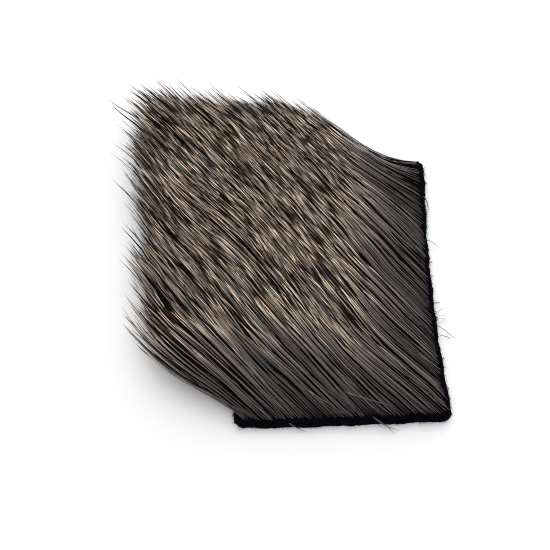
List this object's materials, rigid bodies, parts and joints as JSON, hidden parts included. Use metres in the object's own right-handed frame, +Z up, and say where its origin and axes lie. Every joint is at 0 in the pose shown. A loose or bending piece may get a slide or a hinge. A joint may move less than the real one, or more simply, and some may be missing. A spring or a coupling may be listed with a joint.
{
  "type": "elk hair patch",
  "caption": "Flat, unevenly cut piece of dressed elk hide, black at its cut edges, with its hair combed one way and reaching past the hide.",
  "frame": {"origin": "middle of the whole patch's plan box, on the plane that the hide's flesh side rests on", "axes": "+Z up out of the hair side; the longer cut of the hide runs along Y and the shorter one along X, with the two bare cut edges towards +X and -Y; the hair is combed towards -X and +Y"},
  "size_m": [0.0756, 0.0818, 0.0119],
  "materials": {
    "dyed_hide": "matt, black with a blue cast, slightly fibrous where it is cut",
    "elk_hair": "coarse straight hair, dark grey-brown at the root, tan towards a dark tip, with a soft sheen along its length"
  },
  "bodies": {
    "root": {"hide": "dyed_hide", "hair_coat": "elk_hair"}
  },
  "joints": []
}
